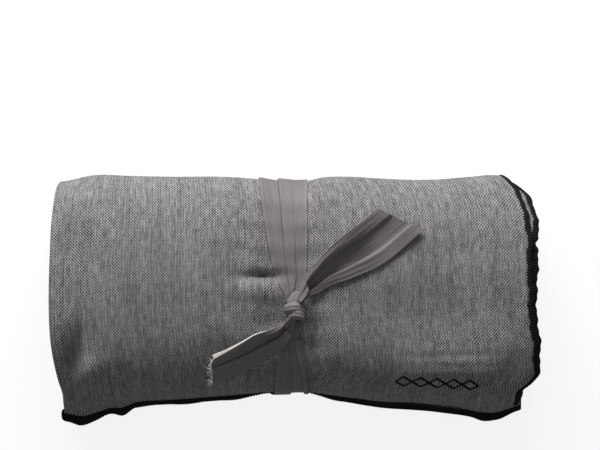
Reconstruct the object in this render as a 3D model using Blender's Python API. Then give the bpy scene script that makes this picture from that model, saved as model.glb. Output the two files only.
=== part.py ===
"""Quick dry towel: one cloth folded in half, rolled up flat and tied with a woven tape.

Metres, +Z up.  The roll lies on z = 0 with its long axis along X.  The fold of the cloth is
the -X end of the roll and its two loose long edges are the +X end.  The free short edge comes
out low on the -Y side.  The tape is knotted on top, and each of its two ends can be lifted.
"""
import math

import bmesh
import bpy
import numpy as np
from mathutils import Vector

# The cloth is 0.70 m wide and lies folded in half.  A ply's thickness holds the air in it.
CLOTH_LENGTH = 1.40
PLY = 0.0024
PLY_GAP = 0.0006

# The roll: a flattened spiral that starts at the free edge and winds inwards.
HALF_WIDTH = 0.0895
HALF_HEIGHT = 0.0440
CENTRE_Y = 0.0043
PITCH_ACROSS = 0.0084
PITCH_UP = 0.0094
FREE_EDGE_ANGLE = math.radians(-14)
TOP_ROUNDNESS = 2.3
BOTTOM_ROUNDNESS = 3.6
SETTLE = 0.0010
TURNS_AT_FLOOR = 0.79
STATION_LENGTH = 0.020
STATION_BEND = math.radians(28)
SHORTEST_STATION = 0.25
TURNS_WALKED = 6

# The ends of the roll: how far the fold bulges, and how far the top ply is drawn back.
FOLD_END_X = -0.168
FOLD_BULGE = 0.010
LOOSE_END_X = 0.178
TOP_PLY_X = 0.174
TOP_PLY_DRAWN_BACK = 0.018
DRAW_BACK_FROM = math.radians(40)
DRAW_BACK_TO = math.radians(180)
EASED_FROM_TURN = 0.85
TOP_PLY_SHORT = 0.001

# The overlock thread that binds all four edges of the cloth.
EDGING_WIDTH = 0.004
EDGING_THICKNESS = 0.0026
CLEARANCE = 0.0003
FREE_EDGE_FLARE = 0.0055
FLARE_LENGTH = 0.050
FLARE_HELD_BY_WAIST = 1.2

# The waist that the tie pulls into the roll.
BAND_X = -0.005
TAPE_WIDTH = 0.037
TAPE_THICKNESS = 0.0012
ACROSS_TAPE = (-1, -0.5, 0, 0.5, 1)
BAND_CLEARANCE = 0.0005
WAIST_REACH = (0.0, TAPE_WIDTH / 2, 0.060, 0.110)
WAIST_SHARE = (1.0, 0.86, 0.35, 0.0)
LIFT_SHARE = (1.0, 0.86, 0.0, 0.0)
WAIST_SIDE = 0.0095
WAIST_SHIFT = 0.0065
WAIST_TOP = 0.0075
WAIST_FLOOR = 0.0026

# The knot and the two ends of the tape, as seen from above.
KNOT_CENTRE = Vector((0.0, -0.0036, 0.0))
KNOT_SIZE = Vector((0.0135, 0.0200, 0.0110))
KNOT_WRAP = Vector((0.0014, 0.0042, 0.0))
KNOT_WRAP_TILT = Vector((0.25, 0.0, 1.0))
KNOT_WRAP_SIDES = 8
KNOT_WRAP_STEPS = 20
KNOT_RISE = 0.0078
BAND_KNOT_WIDTH = 0.014
BAND_GATHER_LENGTH = 0.060
BAND_GATHER_CURVE = 0.7
BAND_LEAST_BEND = 0.1
NECK_WIDTH = 0.009
TAIL_THICKNESS = 0.0014
PLEAT = 0.0016
PLEAT_LOST = 0.7
HINGE_GAP = 0.0012

# The stitched mark near the corner: a chain of lozenges.
MARK_CENTRE_X = 0.104
MARK_LENGTH = 0.060
MARK_HEIGHT = 0.0095
MARK_LINK = 0.0012
MARK_LOZENGES = 5
MARK_CENTRE_Y = -0.0615
MARK_THICKNESS = 0.0005


def clear_scene():
    for old in list(bpy.data.objects):
        bpy.data.objects.remove(old, do_unlink=True)


def finish(name, colour, roughness):
    """A cloth-like material: a plain colour, rough, not metallic."""
    made = bpy.data.materials.new(name)
    made.use_nodes = True
    shader = made.node_tree.nodes["Principled BSDF"]
    shader.inputs["Base Color"].default_value = (*colour, 1.0)
    shader.inputs["Roughness"].default_value = roughness
    shader.inputs["Metallic"].default_value = 0.0
    made.diffuse_color = (*colour, 1.0)
    return made


def place(name, mesh, material, parent=None, location=(0, 0, 0)):
    placed = bpy.data.objects.new(name, mesh)
    bpy.context.collection.objects.link(placed)
    mesh.materials.append(material)
    placed.parent = parent
    placed.location = location
    return placed


def box_skin(outer_rows, inner_rows, sharp_degrees=50):
    """One closed body between two grids of points that have the same rows and columns."""
    rows, columns = len(outer_rows), len(outer_rows[0])
    shell = bmesh.new()
    outer = [[shell.verts.new(point) for point in row] for row in outer_rows]
    inner = [[shell.verts.new(point) for point in row] for row in inner_rows]
    for i in range(rows - 1):
        for k in range(columns - 1):
            shell.faces.new((outer[i][k], outer[i + 1][k], outer[i + 1][k + 1], outer[i][k + 1]))
            shell.faces.new((inner[i][k], inner[i][k + 1], inner[i + 1][k + 1], inner[i + 1][k]))
        for k in (0, columns - 1):
            shell.faces.new((outer[i][k], inner[i][k], inner[i + 1][k], outer[i + 1][k]))
    for k in range(columns - 1):
        for i in (0, rows - 1):
            shell.faces.new((outer[i][k], outer[i][k + 1], inner[i][k + 1], inner[i][k]))
    bmesh.ops.recalc_face_normals(shell, faces=shell.faces)
    mesh = bpy.data.meshes.new("skin")
    shell.to_mesh(mesh)
    shell.free()
    mesh.shade_smooth()
    mesh.set_sharp_from_angle(angle=math.radians(sharp_degrees))
    return mesh


# The spiral

def waist(x):
    """1 under the middle of the band, falling to 0 where the roll is at its full size."""
    return float(np.interp(abs(x - BAND_X), WAIST_REACH, WAIST_SHARE))


def lift_off_floor(x):
    """How far the tie lifts the underside.  Away from the tape the roll lies flat."""
    return WAIST_FLOOR * float(np.interp(abs(x - BAND_X), WAIST_REACH, LIFT_SHARE))


def rounded(angle):
    """Cosine and sine on a superellipse, boxier below than above."""
    across, up = math.cos(angle), math.sin(angle)
    power = 2 / (TOP_ROUNDNESS if up >= 0 else BOTTOM_ROUNDNESS)
    return (math.copysign(abs(across) ** power, across), math.copysign(abs(up) ** power, up))


def turns(angle):
    """How many turns the cloth has made from its free edge to this angle."""
    return (angle - FREE_EDGE_ANGLE) / math.tau


def roll_point(angle, depth, x, wound=None):
    """A point of the roll: angle 0 is the -Y side and 90 degrees the top.  Depth is measured
    into the roll from the outer skin of the layer that is wound this many turns in."""
    pinch = waist(x)
    wound = turns(angle) if wound is None else wound
    across, up = rounded(angle)
    drop = WAIST_TOP * pinch if up > 0 else lift_off_floor(x)
    half_width = (HALF_WIDTH - PITCH_ACROSS * wound - depth) * (1 - WAIST_SIDE * pinch / HALF_WIDTH)
    half_height = (HALF_HEIGHT - PITCH_UP * wound - depth) * (1 - drop / HALF_HEIGHT)
    centre = HALF_HEIGHT - PITCH_UP * TURNS_AT_FLOOR - SETTLE
    y = CENTRE_Y + WAIST_SHIFT * pinch - half_width * across
    z = max(centre + half_height * up, depth + lift_off_floor(x))
    return Vector((x, y, z))


def with_flare(angle, depth, x, length):
    """The same, with the last stretch before the free edge standing off the roll."""
    point = roll_point(angle, depth, x)
    freedom = 1 - min(1.0, FLARE_HELD_BY_WAIST * waist(x))
    share = freedom * max(0.0, 1 - length / FLARE_LENGTH) ** 2
    return point - Vector((0, FREE_EDGE_FLARE * share, 0))


def walk_spiral():
    """Angle and cloth length all along the spiral, and the stations it is modelled at."""
    angles = FREE_EDGE_ANGLE + np.radians(np.arange(0, 360 * TURNS_WALKED, 1.0))
    middle = PLY + PLY_GAP / 2
    points = np.array([roll_point(a, middle, WAIST_REACH[-1] * 2)[1:] for a in angles])
    legs = np.diff(points, axis=0)
    lengths = np.concatenate([[0], np.cumsum(np.hypot(*legs.T))])
    heading = np.unwrap(np.arctan2(legs[:, 1], legs[:, 0]))
    bends = np.concatenate([[0, 0], np.cumsum(np.abs(np.diff(heading)))])
    effort = lengths / STATION_LENGTH + bends / STATION_BEND
    return angles, lengths, effort


SPIRAL_ANGLES, SPIRAL_LENGTHS, SPIRAL_EFFORT = walk_spiral()


def angle_at(length):
    return float(np.interp(length, SPIRAL_LENGTHS, SPIRAL_ANGLES))


def length_at(angle):
    return float(np.interp(angle, SPIRAL_ANGLES, SPIRAL_LENGTHS))


def stations(start, end):
    """Angles from one cloth length to another, closer together where the spiral bends."""
    first, last = np.interp((start, end), SPIRAL_LENGTHS, SPIRAL_EFFORT)
    shared = np.arange(math.ceil(first + SHORTEST_STATION), math.floor(last - SHORTEST_STATION) + 1)
    efforts = np.concatenate([[first], shared, [last]])
    return [float(np.interp(e, SPIRAL_EFFORT, SPIRAL_ANGLES)) for e in efforts]


# The cloth and its edging

def fold_end(angle):
    return FOLD_END_X - FOLD_BULGE * max(0.0, math.sin(angle))


def top_ply_end(angle):
    """The top ply's long edge.  On the outermost turn it is drawn back towards the +Y side,
    and further in it lies with the rest."""
    share = (angle - DRAW_BACK_FROM) / (DRAW_BACK_TO - DRAW_BACK_FROM)
    outermost = TOP_PLY_X - TOP_PLY_DRAWN_BACK * min(1.0, max(0.0, share)) ** 2
    eased = min(1.0, max(0.0, (turns(angle) - EASED_FROM_TURN) / (1 - EASED_FROM_TURN)))
    return outermost * (1 - eased) + (LOOSE_END_X - TOP_PLY_SHORT) * eased


def under_ply_end(angle):
    return LOOSE_END_X


CROSS_X = [BAND_X + reach for reach in reversed(WAIST_REACH)]
CROSS_X += [BAND_X - reach for reach in WAIST_REACH[1:]]
FOLD_STEPS = 4


def folded_section(trim):
    """Across the roll: along the top ply, round the fold and back along the under ply.
    Each entry is a function of the angle, giving x and the depths of the two faces."""
    thick = 2 * PLY + PLY_GAP

    def outline(angle):
        outer = [(top_ply_end(angle) - trim, 0.0)] + [(x, 0.0) for x in CROSS_X]
        inner = [(top_ply_end(angle) - trim, PLY)] + [(x, PLY) for x in CROSS_X]
        for step in range(FOLD_STEPS + 1):
            turn = math.pi * step / FOLD_STEPS
            reach, lift = math.sin(turn), math.cos(turn)
            x = fold_end(angle) + thick / 2
            outer.append((x - reach * thick / 2, thick / 2 * (1 - lift)))
            inner.append((x - reach * PLY_GAP / 2, thick / 2 - lift * PLY_GAP / 2))
        outer += [(x, thick) for x in reversed(CROSS_X)]
        inner += [(x, thick - PLY) for x in reversed(CROSS_X)]
        outer.append((under_ply_end(angle) - trim, thick))
        inner.append((under_ply_end(angle) - trim, thick - PLY))
        return outer, inner

    return outline


def sweep_section(section, start, end):
    """Carry a section along the spiral between two cloth lengths."""
    outer_rows, inner_rows = [], []
    for angle in stations(start, end):
        outer, inner = section(angle)
        length = length_at(angle)
        outer_rows.append([with_flare(angle, depth, x, length) for x, depth in outer])
        inner_rows.append([with_flare(angle, depth, x, length) for x, depth in inner])
    return box_skin(outer_rows, inner_rows)


def edge_section(end_of_ply, depth):
    """A narrow binding along one long edge, a little thicker than the ply it covers."""
    def outline(angle):
        x = end_of_ply(angle)
        outer = [(x - EDGING_WIDTH, depth), (x, depth)]
        inner = [(x - EDGING_WIDTH, depth + EDGING_THICKNESS), (x, depth + EDGING_THICKNESS)]
        return outer, inner

    return outline


def build_cloth(cloth_finish, thread_finish):
    trim = EDGING_WIDTH + CLEARANCE
    body = sweep_section(folded_section(trim), trim, CLOTH_LENGTH - trim)
    place("towel_cloth", body, cloth_finish)
    long_edges = (("edging_top_ply", top_ply_end, 0.0),
                  ("edging_under_ply", under_ply_end, PLY + PLY_GAP))
    for name, end_of_ply, depth in long_edges:
        rail = sweep_section(edge_section(end_of_ply, depth), trim, CLOTH_LENGTH - trim)
        place(name, rail, thread_finish)
    short_edges = (("edging_free_end", 0.0, EDGING_WIDTH),
                   ("edging_core_end", CLOTH_LENGTH - EDGING_WIDTH, CLOTH_LENGTH))
    for name, start, end in short_edges:
        place(name, sweep_section(folded_section(0.0), start, end), thread_finish)


# The tie

def thicken(placed, thickness):
    wall = placed.modifiers.new("tape_thickness", "SOLIDIFY")
    wall.thickness = thickness
    wall.offset = 0.0
    wall.use_even_offset = True
    return placed


def grid_mesh(rows):
    """An open grid of quads through rows of points."""
    sheet = bmesh.new()
    verts = [[sheet.verts.new(point) for point in row] for row in rows]
    for above, below in zip(verts, verts[1:]):
        for k in range(len(above) - 1):
            sheet.faces.new((above[k], above[k + 1], below[k + 1], below[k]))
    mesh = bpy.data.meshes.new("sheet")
    sheet.to_mesh(mesh)
    sheet.free()
    mesh.shade_smooth()
    return mesh


def knot_place():
    """The middle of the knot, resting in the waist on top of the roll."""
    top = surface_height(KNOT_CENTRE.x, KNOT_CENTRE.y)
    return Vector((KNOT_CENTRE.x, KNOT_CENTRE.y, top + KNOT_RISE))


def angle_over(y, x):
    """The angle on the top of the outermost turn that lies straight below a place."""
    low, high = 0.0, math.pi
    for _ in range(40):
        middle = (low + high) / 2
        if roll_point(middle, 0.0, x).y < y:
            low = middle
        else:
            high = middle
    return (low + high) / 2


def surface_height(x, y):
    return roll_point(angle_over(y, x), 0.0, x).z


def build_band(tape_finish):
    """The tape round the waist, open where the knot sits and gathered towards it."""
    skin = TAPE_THICKNESS / 2 + BAND_CLEARANCE
    knot_far = KNOT_CENTRE.y + KNOT_SIZE.y / 2 + CLEARANCE
    knot_near = KNOT_CENTRE.y - KNOT_SIZE.y / 2 - CLEARANCE
    start = angle_over(knot_far, BAND_X)
    end = angle_over(knot_near, BAND_X) + math.tau
    free_edge = FREE_EDGE_ANGLE + math.tau
    first_turn = stations(0.0, length_at(free_edge))
    first, last = start + BAND_LEAST_BEND, free_edge - BAND_LEAST_BEND
    ring = [start] + [a for a in first_turn if first < a < last]
    ring += [a + math.tau for a in first_turn if a + math.tau < end - BAND_LEAST_BEND] + [end]
    middle_line = [roll_point(angle, 0.0, BAND_X, wound=0.0) for angle in ring]
    travelled = [0.0]
    for point, after in zip(middle_line, middle_line[1:]):
        travelled.append(travelled[-1] + (after - point).length)
    rows = []
    for angle, along in zip(ring, travelled):
        to_knot = min(along, travelled[-1] - along)
        share = min(1.0, to_knot / BAND_GATHER_LENGTH)
        opened = (TAPE_WIDTH - BAND_KNOT_WIDTH) * share ** BAND_GATHER_CURVE
        half = (BAND_KNOT_WIDTH + opened) / 2
        wound = turns(angle)
        if wound < 1:
            wound *= min(1.0, (1 - wound) / (1 - EASED_FROM_TURN))
        else:
            wound -= 1
        rows.append([roll_point(angle, -skin, BAND_X + across * half, wound=wound)
                     for across in ACROSS_TAPE])
    thicken(place("tie_band", grid_mesh(rows), tape_finish), TAPE_THICKNESS)


def build_knot(tape_finish):
    """An overhand knot pulled tight: a rounded body with one turn of tape over its waist."""
    centre = knot_place()
    core = bmesh.new()
    bmesh.ops.create_icosphere(core, subdivisions=3, radius=0.5)
    bmesh.ops.scale(core, vec=KNOT_SIZE, verts=core.verts)
    mesh = bpy.data.meshes.new("knot")
    core.to_mesh(mesh)
    core.free()
    mesh.shade_smooth()
    knot = place("tie_knot", mesh, tape_finish, location=centre)
    wrap = bmesh.new()
    radius = KNOT_SIZE.x / 2
    profile = [wrap.verts.new((radius + KNOT_WRAP.x * math.cos(t), KNOT_WRAP.y * math.sin(t), 0))
               for t in np.linspace(0, math.tau, KNOT_WRAP_SIDES, endpoint=False)]
    edges = [wrap.edges.new((profile[i - 1], profile[i])) for i in range(len(profile))]
    bmesh.ops.spin(wrap, geom=edges, cent=(0, 0, 0), axis=(0, 1, 0), angle=math.tau,
                   steps=KNOT_WRAP_STEPS, use_merge=True)
    bmesh.ops.scale(wrap, vec=(1, 1, KNOT_SIZE.z / KNOT_SIZE.x), verts=wrap.verts)
    bmesh.ops.recalc_face_normals(wrap, faces=wrap.faces)
    tilt = Vector((0, 0, 1)).rotation_difference(KNOT_WRAP_TILT)
    bmesh.ops.rotate(wrap, verts=wrap.verts, cent=(0, 0, 0), matrix=tilt.to_matrix())
    wrap_mesh = bpy.data.meshes.new("knot_wrap")
    wrap.to_mesh(wrap_mesh)
    wrap.free()
    turn = bpy.data.objects.new("knot_wrap_guide", wrap_mesh)
    bpy.context.collection.objects.link(turn)
    turn.location = centre
    turn.hide_render = True
    turn.display_type = "WIRE"
    union = knot.modifiers.new("wrap", "BOOLEAN")
    union.operation = "UNION"
    union.object = turn


# side: exit from the knot, cut end, share of the length that is neck, width at the cut end,
# heights above the roll at equal steps, and how far one border of the cut end stands up
TAILS = {
    "left": (Vector((-0.0072, -0.0108, 0)), Vector((-0.0590, -0.0495, 0)), 0.32, 0.024,
             (0.0052, 0.0036, 0.0034, 0.0036), -0.012),
    "right": (Vector((0.0066, 0.0044, 0)), Vector((0.0780, 0.0600, 0)), 0.30, 0.033,
              (0.0052, 0.0050, 0.0060, 0.0080), 0.014),
}
NECK_STEPS = 2
TAIL_STEPS = 5


def tail_row(exit_point, cut_end, cut_width, rises, bank, share):
    """Five points across a tape end, some share of the way from the knot to the cut end.
    Small pleats run lengthwise and flatten towards the cut end, and one border stands up."""
    run = cut_end - exit_point
    sideways = Vector((-run.y, run.x, 0)).normalized()
    middle = exit_point.lerp(cut_end, share)
    rise = float(np.interp(share * (len(rises) - 1), range(len(rises)), rises))
    half = (NECK_WIDTH + (cut_width - NECK_WIDTH) * share) / 2
    row = []
    for k, across in enumerate(ACROSS_TAPE):
        crease = PLEAT * (1 - PLEAT_LOST * share) * (0.5 if k % 2 else -0.5)
        banked = share * max(0.0, abs(bank) + bank * across) / 2
        point = middle + sideways * across * half
        ground = surface_height(point.x, point.y)
        row.append(Vector((point.x, point.y, ground + rise + crease + banked)))
    return row


def build_tails(tape_finish):
    """Two tape ends, each a short gathered neck and a flat tail.  Each piece hinges on the
    upper face of its own first row, so it can be lifted away from the roll."""
    for side, (exit_point, cut_end, neck_share, cut_width, rises, bank) in TAILS.items():
        gap = HINGE_GAP / (cut_end - exit_point).length / 2
        spans = ((f"tie_{side}_neck", 0.0, neck_share - gap, NECK_STEPS),
                 (f"tie_{side}_tail", neck_share + gap, 1.0, TAIL_STEPS))
        for name, start, end, steps in spans:
            rows = [tail_row(exit_point, cut_end, cut_width, rises, bank, share)
                    for share in np.linspace(start, end, steps + 1)]
            pivot = sum(rows[0], Vector()) / len(rows[0])
            pivot.z = max(point.z for point in rows[0]) + TAIL_THICKNESS / 2
            local = [[point - pivot for point in row] for row in rows]
            thicken(place(name, grid_mesh(local), tape_finish, location=pivot), TAIL_THICKNESS)


# The stitched mark

def build_mark(thread_finish):
    """A chain of five satin-stitched lozenges, joined tip to tip."""
    middle_length = length_at(angle_over(MARK_CENTRE_Y, MARK_CENTRE_X))
    steps_each = 4
    outer_rows, inner_rows = [], []
    total = MARK_LOZENGES * steps_each
    for step in range(total + 1):
        x = MARK_CENTRE_X + MARK_LENGTH * (step / total - 0.5)
        phase = (step % steps_each) / steps_each
        swell = 1 - abs(2 * phase - 1)
        half = (MARK_LINK + (MARK_HEIGHT - MARK_LINK) * swell) / 2
        outer, inner = [], []
        for across in ACROSS_TAPE:
            angle = angle_at(middle_length + across * half)
            outer.append(with_flare(angle, -CLEARANCE - MARK_THICKNESS, x, middle_length))
            inner.append(with_flare(angle, -CLEARANCE, x, middle_length))
        outer_rows.append(outer)
        inner_rows.append(inner)
    place("corner_mark", box_skin(outer_rows, inner_rows), thread_finish)


clear_scene()
grey_cotton = finish("grey_cotton", (0.21, 0.205, 0.205), 0.95)
grey_tape = finish("grey_tape", (0.17, 0.155, 0.165), 0.85)
black_thread = finish("black_thread", (0.012, 0.012, 0.013), 0.8)
build_cloth(grey_cotton, black_thread)
build_band(grey_tape)
build_knot(grey_tape)
build_tails(grey_tape)
build_mark(black_thread)
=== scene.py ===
"""A quick dry towel: one cotton cloth folded in half, rolled up flat and tied with a woven tape.

Metres, +Z up.  The roll lies along X.  The fold of the cloth is its -X end, the loose long
edges are its +X end, and the free short edge comes out low on the -Y side.
"""
import math

import bpy
import numpy as np
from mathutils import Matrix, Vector


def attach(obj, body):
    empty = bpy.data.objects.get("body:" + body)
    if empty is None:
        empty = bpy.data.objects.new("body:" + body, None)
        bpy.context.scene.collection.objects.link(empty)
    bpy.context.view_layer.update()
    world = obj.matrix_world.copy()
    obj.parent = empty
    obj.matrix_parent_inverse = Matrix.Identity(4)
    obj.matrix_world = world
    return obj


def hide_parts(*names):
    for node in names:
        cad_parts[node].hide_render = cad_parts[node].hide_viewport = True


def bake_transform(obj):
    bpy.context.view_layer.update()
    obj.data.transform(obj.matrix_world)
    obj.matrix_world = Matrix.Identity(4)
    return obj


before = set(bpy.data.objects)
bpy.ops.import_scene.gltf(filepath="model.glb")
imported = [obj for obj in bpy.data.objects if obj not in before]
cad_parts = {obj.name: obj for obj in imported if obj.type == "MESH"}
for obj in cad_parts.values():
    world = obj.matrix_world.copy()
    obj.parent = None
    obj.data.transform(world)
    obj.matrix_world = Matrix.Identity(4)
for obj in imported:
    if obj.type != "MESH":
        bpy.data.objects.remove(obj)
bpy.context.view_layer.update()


# The studio: a plain white table, one large soft light behind the roll, a weak light all
# round, and a camera almost straight above.  The table is seen but throws no light on the
# towel, so all its shading comes from the light behind and the weak light all round.

def linear(hex_colour):
    """An sRGB hex colour as linear red, green, blue and alpha."""
    parts = [int(hex_colour[i:i + 2], 16) / 255 for i in (1, 3, 5)]
    return (*[c / 12.92 if c <= 0.04045 else ((c + 0.055) / 1.055) ** 2.4 for c in parts], 1.0)


def add_node(tree, kind, inputs=(), **settings):
    """One more node, with its settings, and its inputs set to a value or linked to an output."""
    made = tree.nodes.new(kind)
    for name, value in settings.items():
        setattr(made, name, value)
    for name, value in dict(inputs).items():
        if isinstance(value, bpy.types.NodeSocket):
            tree.links.new(value, made.inputs[name])
        else:
            made.inputs[name].default_value = value
    return made


def new_material(name):
    made = bpy.data.materials.new(name)
    made.use_nodes = True
    return made, made.node_tree, made.node_tree.nodes["Principled BSDF"]


scene = bpy.context.scene
scene.view_settings.view_transform = "Standard"

TABLE_SIZE, TABLE_HEIGHT = 6.0, -0.0004
bpy.ops.object.select_all(action="DESELECT")
bpy.ops.mesh.primitive_plane_add(size=TABLE_SIZE, location=(0, 0, TABLE_HEIGHT))
table_top = bpy.context.object
table_top.name = "table_top"
table_top.visible_diffuse = False
table_top.visible_glossy = False
laminate, tree, shader = new_material("white_laminate")
shader.inputs["Base Color"].default_value = linear("#777777")
shader.inputs["Roughness"].default_value = 0.9
shader.inputs["Specular IOR Level"].default_value = 0.1
shader.inputs["Emission Color"].default_value = linear("#ffffff")
shader.inputs["Emission Strength"].default_value = 0.86
table_top.data.materials.append(laminate)

# The world is white for the camera, and much weaker as light on the towel.
FILL = 0.20
world = bpy.data.worlds.new("studio_fill")
scene.world = world
world.use_nodes = True
tree = world.node_tree
tree.nodes.clear()
seen = add_node(tree, "ShaderNodeLightPath")
strength = add_node(tree, "ShaderNodeMath", {0: seen.outputs["Is Camera Ray"], 1: 1.0 - FILL},
                    operation="MULTIPLY")
strength = add_node(tree, "ShaderNodeMath", {0: strength.outputs[0], 1: FILL}, operation="ADD")
sky = add_node(tree, "ShaderNodeBackground",
               {"Color": linear("#ffffff"), "Strength": strength.outputs[0]})
add_node(tree, "ShaderNodeOutputWorld", {"Surface": sky.outputs[0]})


LIGHT_PLACE, LIT_POINT = Vector((-0.20, 1.60, 0.80)), Vector((0, 0, 0.05))
LIGHT_SIZE, LIGHT_POWER = (1.2, 0.6), 44.5
softbox = bpy.data.lights.new("key_light", "AREA")
softbox.shape = "RECTANGLE"
softbox.size, softbox.size_y = LIGHT_SIZE
softbox.energy = LIGHT_POWER
lamp = bpy.data.objects.new("key_light", softbox)
bpy.context.collection.objects.link(lamp)
lamp.location = LIGHT_PLACE
lamp.rotation_euler = (LIT_POINT - LIGHT_PLACE).to_track_quat("-Z", "Y").to_euler()

# The view is 0.435 m wide at the point aimed at, which is a little below the top of the roll.
CAMERA_TILT = math.radians(4)
CAMERA_DISTANCE = 3.0
VIEW_WIDTH = 0.435
AIM = Vector((0.0051, 0.0545, 0.055))
eye = bpy.data.cameras.new("camera")
eye.sensor_width = 36.0
eye.lens = eye.sensor_width * CAMERA_DISTANCE / VIEW_WIDTH
camera = bpy.data.objects.new("camera", eye)
bpy.context.collection.objects.link(camera)
back = Vector((0, -math.sin(CAMERA_TILT), math.cos(CAMERA_TILT)))
camera.location = AIM + back * CAMERA_DISTANCE
camera.rotation_euler = (CAMERA_TILT, 0, 0)
scene.camera = camera


# The towel: thin woven cotton, 0.70 x 1.40 m, folded in half along its length and rolled up
# from the far short edge.  It is soft, so the tie pulls a waist into it, the top sinks into
# shallow hollows, and the free edge stands a little off the roll.

COTTON_WIDTH, COTTON_LENGTH = 0.70, 1.40
PLY_THICKNESS = 0.0020
# The outer ply's middle below the skin, and half the distance between the two plies.
PLY_MIDDLE, FOLD_RADIUS = 0.0012, 0.0015
# The roll's cross section, and how much it shrinks with each turn of two plies.
HALF_WIDTH, HALF_HEIGHT = 0.0895, 0.0440
PITCH_ACROSS, PITCH_UP = 0.0084, 0.0094
CENTRE_HEIGHT = 0.0356
# The outline is a superellipse, rounder above than below.
TOP_ROUNDNESS, UNDER_ROUNDNESS = 2.3, 3.6
# In half widths: the reach to the near side, and the whole width, both shrunk by the winding.
NEAR_REACH, WHOLE_REACH = 0.99625, 1.9456
FREE_EDGE = math.radians(-14)
ROLL_END = 0.178
# The waist under the tie: its middle, half lengths and depths above and below.
TAPE_X = -0.005
WAIST_REACH, UNDER_TAPE = 0.036, 0.019
WAIST_TOP, WAIST_UNDER = 0.0068, 0.0022
# How far the top droops at the folded end and at the loose end, and over what length.
FOLD_DROOP, FOLD_REACH = 0.0050, 0.016
LOOSE_DROOP, LOOSE_REACH = 0.0022, 0.020
# The free edge: the length that stands off, the part that stands off most, the curled rim.
FLARE_LENGTH, FLARE_TIP, CURL_LENGTH = 0.046, 0.013, 0.0062
CURL_OUT, CURL_UP, CURL_SET_BACK = 0.0032, 0.0016, 0.0030
# How far the under ply pokes out below the top one, and the corner where it pokes out more.
PLY_SLACK, CORNER_SLACK, SLACK_X, SLACK_REACH = 0.0034, 0.0046, -0.124, 0.0065
LOWEST = 0.0003

# The sides of the roll as seen from above, from the folded end to the loose end.
NEAR_SIDE = ((-0.178, -0.0728), (-0.165, -0.0739), (-0.154, -0.0764), (-0.143, -0.0754),
             (-0.132, -0.0729), (-0.111, -0.0700), (-0.095, -0.0695), (-0.067, -0.0675),
             (-0.046, -0.0662), (-0.024, -0.0660), (-0.008, -0.0656), (0.009, -0.0652),
             (0.020, -0.0664), (0.041, -0.0675), (0.063, -0.0708), (0.085, -0.0716),
             (0.107, -0.0729), (0.128, -0.0743), (0.140, -0.0759), (0.150, -0.0756),
             (0.161, -0.0729), (0.178, -0.0700))
FAR_SIDE = ((-0.178, 0.0865), (-0.165, 0.0881), (-0.145, 0.0923), (-0.120, 0.0918),
            (-0.090, 0.0911), (-0.050, 0.0910), (-0.025, 0.0893), (-0.010, 0.0874),
            (0.008, 0.0874), (0.020, 0.0903), (0.041, 0.0911), (0.065, 0.0897),
            (0.100, 0.0889), (0.128, 0.0909), (0.148, 0.0923), (0.161, 0.0898), (0.178, 0.0845))
FREE_EDGE_FLARE = ((-0.178, 0.0140), (-0.154, 0.0140), (-0.143, 0.0110), (-0.132, 0.0090),
                   (-0.111, 0.0070), (-0.067, 0.0065), (-0.040, 0.0054), (-0.026, 0.0022),
                   (-0.020, 0.0002), (-0.008, 0.0), (0.010, 0.0002), (0.017, 0.0022),
                   (0.032, 0.0060), (0.063, 0.0075), (0.107, 0.0090), (0.128, 0.0105),
                   (0.139, 0.0120), (0.150, 0.0115), (0.161, 0.0090), (0.178, 0.0060))
# The ends of the roll as seen from above, from the near side to the far side.
FOLD_END = ((-0.090, -0.1620), (-0.083, -0.1645), (-0.069, -0.1672), (-0.062, -0.1695),
            (-0.047, -0.1725), (-0.033, -0.1742), (-0.018, -0.1750), (0.040, -0.1752),
            (0.054, -0.1748), (0.069, -0.1732), (0.083, -0.1705), (0.092, -0.1670))
UNDER_END = ((-0.090, 0.1540), (-0.086, 0.1580), (-0.077, 0.1650), (-0.068, 0.1680),
             (-0.062, 0.1745), (-0.047, 0.1785), (-0.034, 0.1785), (-0.015, 0.1760),
             (0.011, 0.1762), (0.029, 0.1770), (0.040, 0.1768), (0.0445, 0.1750),
             (0.050, 0.1774), (0.060, 0.1776), (0.073, 0.1755), (0.085, 0.1690),
             (0.092, 0.1570))
TOP_END = ((-0.090, 0.1520), (-0.086, 0.1565), (-0.077, 0.1640), (-0.068, 0.1668),
           (-0.064, 0.1735), (-0.047, 0.1775), (-0.034, 0.1768), (-0.015, 0.1742),
           (0.004, 0.1742), (0.024, 0.1726), (0.047, 0.1732), (0.059, 0.1712),
           (0.075, 0.1672), (0.088, 0.1585), (0.092, 0.1540))
# How far the top ply's free edge lies back from the under ply's.
TOP_PLY_BACK = ((-0.178, 0.0), (-0.120, 0.0008), (0.0, 0.0012), (0.050, 0.0024),
                (0.068, 0.0042), (0.105, 0.0040), (0.122, 0.0022), (0.150, 0.0012),
                (0.178, 0.0008))
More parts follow.
